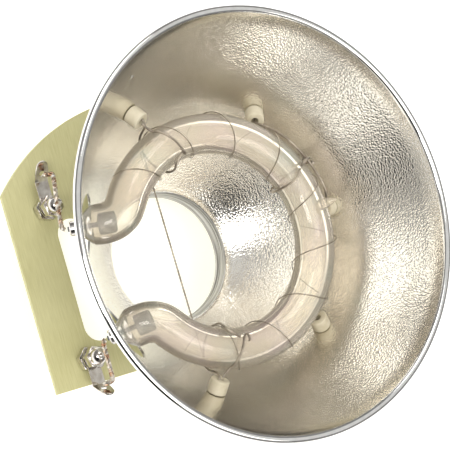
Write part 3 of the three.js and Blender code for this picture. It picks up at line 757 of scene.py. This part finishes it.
def make_terminals():
    for name, row in TERMINALS.items():
        place = Matrix.Translation((row["x"], row["y"], 0))
        nut_foot = BOARD_FRONT + GAP
        lug_foot = nut_foot + BASE_NUT_HEIGHT + GAP
        washer_foot = lug_foot + LUG_THICKNESS + GAP
        cap_foot = washer_foot + WASHER_THICKNESS + GAP
        make_pin(name, place, cap_foot + CAP_NUT_HEX)
        bore = circle(0, 0, STUD_HOLE_RADIUS, 24)
        nut = stamped(name + "_hexagon_nut", [hexagon(BASE_NUT_FLATS), bore], BASE_NUT_HEIGHT, 0.3 * MM)
        nut.data.transform(place @ Matrix.Translation((0, 0, nut_foot)))
        fitted(nut, name + "_base_nut")
        high = washer_foot + WASHER_THICKNESS
        washer = broken_ring(STUD_HOLE_RADIUS, WASHER_RADIUS, washer_foot, high)
        fitted(spun(name + "_spring_washer", washer, place, 48), name + "_washer")
        make_cap_nut(name, place, cap_foot)
        make_lug(name, row, lug_foot)


def make_pin(name, place, stud_top):
    shoulder_top = BOARD_BACK - GAP
    shoulder_foot = shoulder_top - PIN_SHOULDER_THICKNESS
    profile = arc(0, PIN_RADIUS, PIN_RADIUS, -90, 0, 12)
    profile += [(PIN_RADIUS, shoulder_foot), (PIN_SHOULDER_RADIUS - PIN_BREAK, shoulder_foot)]
    profile += [(PIN_SHOULDER_RADIUS, shoulder_foot + PIN_BREAK), (PIN_SHOULDER_RADIUS, shoulder_top)]
    profile += [(STUD_RADIUS, shoulder_top), (STUD_RADIUS, stud_top), (0, stud_top)]
    fitted(spun(name + "_plug_pin", profile, place, 48, closed=False), name + "_contact_pin")


def make_cap_nut(name, place, foot):
    outlines = [hexagon(NUT_FLATS), circle(0, 0, STUD_HOLE_RADIUS, 24)]
    hexed = stamped("hex", outlines, CAP_NUT_HEX, 0.35 * MM)
    brow = CAP_NUT_HEX + DOME_SKIRT
    inside = STUD_HOLE_RADIUS
    roof = CAP_NUT_HEX + GAP
    profile = [(inside, CAP_NUT_HEX - 0.2 * MM), (DOME_RADIUS, CAP_NUT_HEX - 0.2 * MM)]
    profile += arc(0, brow, DOME_RADIUS, 0, 90, 14)
    profile += [(0, roof), (inside, roof), (inside, CAP_NUT_HEX - 0.2 * MM)]
    dome = spun("dome", profile, Matrix(), 48, closed=False)
    nut = joined(name + "_dome_nut", hexed, dome)
    nut.data.transform(place @ Matrix.Translation((0, 0, foot)))
    fitted(nut, name + "_cap_nut")


def make_lug(name, row, foot):
    """A stamped lug: a round eye, a flat arm and a leaf-shaped tab that is bent up."""
    edge = LUG_WIDTH / 2 - 0.5 * MM
    eye = LUG_WIDTH / 2 + 0.6 * MM
    meeting = math.degrees(math.asin(edge / eye))
    outline = arc(0, 0, eye, meeting, 360 - meeting, 28)
    outline += [(LUG_FLAT + LUG_TAB * 0.45, -edge)]
    outline += arc(LUG_FLAT + LUG_TAB - 4 * MM, 0, edge - 0.5 * MM, -80, 80, 14)
    outline += [(LUG_FLAT + LUG_TAB * 0.45, edge)]
    holes = [circle(0, 0, STUD_HOLE_RADIUS, 24), circle(LUG_FLAT + LUG_HOLE_RUN, 0, LUG_HOLE_RADIUS, 18)]
    lug = stamped(name + "_leaf_lug", [outline] + holes, LUG_THICKNESS, 0.1 * MM)
    build = bmesh.new()
    build.from_mesh(lug.data)
    for step in range(7):
        line = LUG_FLAT - LUG_BEND_RUN / 2 + LUG_BEND_RUN * step / 6
        bmesh.ops.bisect_plane(build, geom=build.verts[:] + build.edges[:] + build.faces[:],
                               plane_co=(line, 0, 0), plane_no=(1, 0, 0))
    fold = math.radians(row["fold"])
    curl = LUG_BEND_RUN / fold
    for corner in build.verts:
        run = corner.co.x - (LUG_FLAT - LUG_BEND_RUN / 2)
        if run <= 0:
            continue
        angle = min(run / LUG_BEND_RUN, 1) * fold
        rest = max(run - LUG_BEND_RUN, 0)
        lift = corner.co.z
        corner.co.x = LUG_FLAT - LUG_BEND_RUN / 2 + (curl - lift) * math.sin(angle) + rest * math.cos(angle)
        corner.co.z = curl - (curl - lift) * math.cos(angle) + rest * math.sin(angle)
    turn = Matrix.Rotation(math.radians(row["turn"]), 4, "Z")
    place = Matrix.Translation((row["x"], row["y"], foot)) @ turn
    bmesh.ops.transform(build, matrix=place, verts=build.verts)
    build.to_mesh(lug.data)
    build.free()
    fitted(lug, name + "_solder_lug")


def lug_tab_point(row, run, lift):
    foot = BOARD_FRONT + BASE_NUT_HEIGHT + 2 * GAP
    fold = math.radians(row["fold"])
    reach = LUG_FLAT + run * math.cos(fold) - lift * math.sin(fold)
    rise = run * math.sin(fold) + lift * math.cos(fold)
    return outward(row["turn"]) * reach + Vector((row["x"], row["y"], foot + rise))


def twisted(name, points, radius, node):
    """Three strands laid round each other along a route, inside the lead's radius."""
    samples = 30
    strand_radius = radius * STRAND_SHARE
    middle = [points[0]]
    for start, finish in zip(points, points[1:]):
        middle += [start.lerp(finish, step / samples) for step in range(1, samples + 1)]
    for _ in range(samples * 2):
        softened = [(before + place * 2 + after) / 4
                    for before, place, after in zip(middle, middle[1:], middle[2:])]
        middle = [middle[0]] + softened + [middle[-1]]
    routes = [[] for _ in range(STRANDS)]
    run = 0.0
    for index in range(0, len(middle) - 1, 3):
        heading = (middle[index + 1] - middle[index]).normalized()
        side = heading.cross(Vector((0.31, 0.22, 0.93))).normalized()
        over = heading.cross(side)
        if index:
            run += (middle[index] - middle[index - 3]).length
        for strand, route in enumerate(routes):
            angle = 2 * math.pi * (run / STRAND_PITCH + strand / STRANDS)
            offset = side * math.cos(angle) + over * math.sin(angle)
            route.append(middle[index] + offset * strand_radius)
    fitted(drawn_wire(name, routes, strand_radius * 1.08, sides=2, spans=2), node)


def make_leads():
    for name, end in ENDS.items():
        side, tip = end["side"], end["tip"]
        cap_end = tip + end["direction"] * (STEM_LENGTH + LEADOUT_LENGTH + LEAD_RADIUS + GAP)
        start = lug_tab_point(TERMINALS[name], LUG_HOLE_RUN, LUG_THICKNESS + LEAD_RADIUS + GAP)
        points = [start, start + Vector((-0.5 * side, 3.5, 3)) * MM,
                  start.lerp(cap_end, 0.5) + Vector((3 * side, 1, 2)) * MM,
                  cap_end + Vector((1.5 * side, 0, -2)) * MM, cap_end]
        twisted(name + "_twisted_lead", points, LEAD_RADIUS, name + "_lead")
    seat, normal = bushing_frame(BUSHING_ANGLES[2])
    start = seat - normal * (SHEET + SPIGOT_LENGTH + MM)
    finish = lug_tab_point(TERMINALS["trigger"], LUG_HOLE_RUN, LUG_THICKNESS + TRIGGER_LEAD_RADIUS + GAP)
    points = [start, start - normal * 4 * MM, start.lerp(finish, 0.5) + Vector((3, 4, -4)) * MM,
              finish + Vector((1, 2, 3)) * MM, finish]
    twisted("trigger_twisted_lead", points, TRIGGER_LEAD_RADIUS, "trigger_lead")


# --- Wires ----------------------------------------------------------------------------------------

CLIPS = [
    {"name": "left", "anchor": BUSHING_ANGLES[0], "closing": 196, "eye": 112, "on_bus": False},
    {"name": "far", "anchor": 115.5, "closing": 116.5, "eye": 84, "on_bus": True},
    {"name": "right", "anchor": BUSHING_ANGLES[4], "closing": -13.5, "eye": 104, "on_bus": False},
]


def clip_anchor(clip, depth, sideways):
    step = along(clip["anchor"]) * sideways
    if clip["on_bus"]:
        return round_glass(clip["anchor"], BUS_WIRE_TURN, CLIP_REACH + WIRE_PITCH) + step
    seat, normal = bushing_frame(clip["anchor"])
    return seat + normal * (BUSHING_LENGTH + depth) + step


def make_clip(clip):
    name, closing, eye = clip["name"], clip["closing"], clip["eye"]
    front = [clip_anchor(clip, CLIP_WIRE_RADIUS + GAP, CLIP_SIDE_STEP)]
    turn = BUS_WIRE_TURN + 16 if clip["on_bus"] else 30
    while turn < eye - 8:
        angle = mix(clip["anchor"], closing, turn / eye) + 1
        front.append(round_glass(angle, turn, CLIP_REACH + WIRE_PITCH * min(1, turn / eye)))
        turn += 18
    reach = CLIP_REACH + WIRE_PITCH
    front.append(round_glass(closing + 1, eye, reach))
    for curl in range(1, 9):
        swing = math.radians(35 * curl)
        lift = EYE_RADIUS * (1 - math.cos(swing))
        point = round_glass(closing + 1, eye + EYE_SWING * math.sin(swing), reach + lift)
        front.append(point + along(closing) * 0.225 * MM * curl)
    fitted(drawn_wire(name + "_clip_hook", [front], CLIP_WIRE_RADIUS), name + "_clip_front")
    if clip["on_bus"]:
        back = [clip_anchor(clip, 0, -WIRE_PITCH - MM), round_glass(clip["anchor"] - 2, 12, reach)]
    else:
        back = [clip_anchor(clip, depth * MM, -CLIP_SIDE_STEP) for depth in (-2, 0.4)]
    last = eye + 6 - 360
    shift = -2 if clip["on_bus"] else -0.8
    turn = -44
    while turn > last + 10:
        back.append(round_glass(clip["anchor"] + shift, turn, CLIP_REACH))
        turn -= 22
    back.append(round_glass(closing, last, CLIP_REACH))
    fitted(drawn_wire(name + "_clip_bow", [back], CLIP_WIRE_RADIUS), name + "_clip_back")


def make_bus_wires():
    def mouth(angle, depth):
        seat, normal = bushing_frame(angle)
        return seat + normal * (BUSHING_LENGTH + depth * MM)

    start, finish = BUSHING_ANGLES[1:3]
    route = [mouth(start, -2), mouth(start, 0.8), round_glass(start - 4, 6, CLIP_REACH)]
    route += [round_glass(mix(start - 4, finish + 4, step / 6), BUS_WIRE_TURN, CLIP_REACH)
              for step in range(1, 6)]
    route += [round_glass(finish + 4, 6, CLIP_REACH), mouth(finish, 0.8), mouth(finish, -2)]
    fitted(drawn_wire("outer_wire", [route], CLIP_WIRE_RADIUS), "outer_bus_wire")
    drop = CLIP_REACH + CLIP_WIRE_RADIUS + BUS_WIRE_RADIUS + GAP
    left, right = (round_glass(CLIPS[index]["anchor"] - 0.8, -90, drop) for index in (0, 2))
    overhang = (right - left).normalized() * 2 * MM
    strung = [left - overhang, left, right, right + overhang]
    fitted(drawn_wire("cross_wire", [strung], BUS_WIRE_RADIUS), "cross_bus_wire")


def make_ignition_wire():
    first, last = LEFT_END_ANGLE - 10, RIGHT_END_ANGLE + 12
    samples = IGNITION_TURNS * 13
    route = []
    for step in range(samples + 1):
        turn = 360 * IGNITION_TURNS * step / samples
        route.append(round_glass(mix(first, last, step / samples), turn, IGNITION_REACH))
    fitted(drawn_wire("fine_wire", [route], IGNITION_WIRE_RADIUS, sides=1, spans=3), "ignition_wire")


# --- Camera, light and floor ------------------------------------------------------------------------

def floor_finish():
    finish = Finish("studio_paper")
    tooth = finish.noise(60, 2)
    colour = finish.ramp(tooth, (0.4, (0.93, 0.93, 0.93)), (0.6, (0.95, 0.95, 0.95)))
    return finish.done(finish.surface(
        Base_Color=colour, Roughness=0.9, Emission_Color=(1, 1, 1, 1), Emission_Strength=0.45))


def felt_finish():
    finish = Finish("black_felt")
    pile = finish.ramp(finish.noise(40), (0.4, (0.012, 0.012, 0.012)), (0.6, (0.02, 0.02, 0.02)))
    return finish.done(finish.surface(Base_Color=pile, Roughness=0.95))


def soft_light(name, place, aim, size, power, colour=WHITE):
    data = bpy.data.lights.new(name, "AREA")
    data.shape = "RECTANGLE"
    data.size, data.size_y = size
    data.energy = power
    data.color = colour
    lamp = new_object(name, data)
    lamp.location = place
    lamp.rotation_euler = (Vector(aim) - place).to_track_quat("-Z", "Y").to_euler()


def round_lamp(azimuth, elevation, distance):
    """A place in the studio: azimuth 0 is on the -Y side."""
    azimuth, elevation = math.radians(azimuth), math.radians(elevation)
    flat = distance * math.cos(elevation)
    return Vector((flat * math.sin(azimuth), -flat * math.cos(azimuth), distance * math.sin(elevation)))


def make_camera():
    data = bpy.data.cameras.new("camera")
    data.sensor_width = CAMERA_SENSOR
    data.lens = CAMERA_LENS
    camera = new_object("camera", data)
    turn = Matrix.Rotation(math.radians(CAMERA_AZIMUTH), 4, "Z")
    turn = turn @ Matrix.Rotation(math.pi / 2 - math.radians(CAMERA_ELEVATION), 4, "X")
    turn = turn @ Matrix.Rotation(math.radians(CAMERA_ROLL), 4, "Z")
    place = CAMERA_AIM + turn.to_3x3() @ Vector((0, 0, CAMERA_DISTANCE))
    camera.matrix_world = Matrix.Translation(place) @ turn
    bpy.context.scene.camera = camera


def make_sheet(name, matrix, material, segments):
    """A flat sheet that stands in the studio, one metre square before the matrix."""
    build = bmesh.new()
    bmesh.ops.create_grid(build, x_segments=segments, y_segments=segments, size=0.5)
    bmesh.ops.transform(build, matrix=matrix, verts=build.verts)
    mesh = made_mesh(name, build)
    mesh.materials.append(material)
    new_object(name, mesh)


def make_studio():
    make_camera()
    bpy.context.scene.view_settings.view_transform = "Standard"
    world = bpy.data.worlds.new("studio")
    world.use_nodes = True
    world.node_tree.nodes["Background"].inputs["Color"].default_value = (1, 0.99, 0.97, 1)
    world.node_tree.nodes["Background"].inputs["Strength"].default_value = 0.26
    bpy.context.scene.world = world
    make_sheet("floor", Matrix.Scale(2 * FLOOR_REACH, 4), floor_finish(), 4)
    # A black flag low in front, which the bowl mirrors beside its neck.
    middle = round_lamp(FLAG_AZIMUTH, FLAG_ELEVATION, FLAG_DISTANCE)
    facing = (LIGHT_AIM - middle).to_track_quat("-Z", "Y").to_matrix().to_4x4()
    flag = Matrix.Translation(middle) @ facing @ Matrix.Diagonal((FLAG_WIDTH, FLAG_HEIGHT, 1, 1))
    make_sheet("flag", flag, felt_finish(), 1)
    ceiling = Vector((0, 0, CEILING_HEIGHT))
    soft_light("ceiling", ceiling, (0, 0, 0), (CEILING_SIDE, CEILING_SIDE), CEILING_WATTS)
    for name, azimuth, elevation, distance, size, watts, colour in LIGHTS:
        soft_light(name, round_lamp(azimuth, elevation, distance), LIGHT_AIM, size, watts, colour)


make_studio()
make_bowl()
make_board()
make_neck_rings()
make_flashtube()
make_tube_ends()
make_bushings()
make_terminals()
make_leads()
for clip_row in CLIPS:
    make_clip(clip_row)
make_bus_wires()
make_ignition_wire()
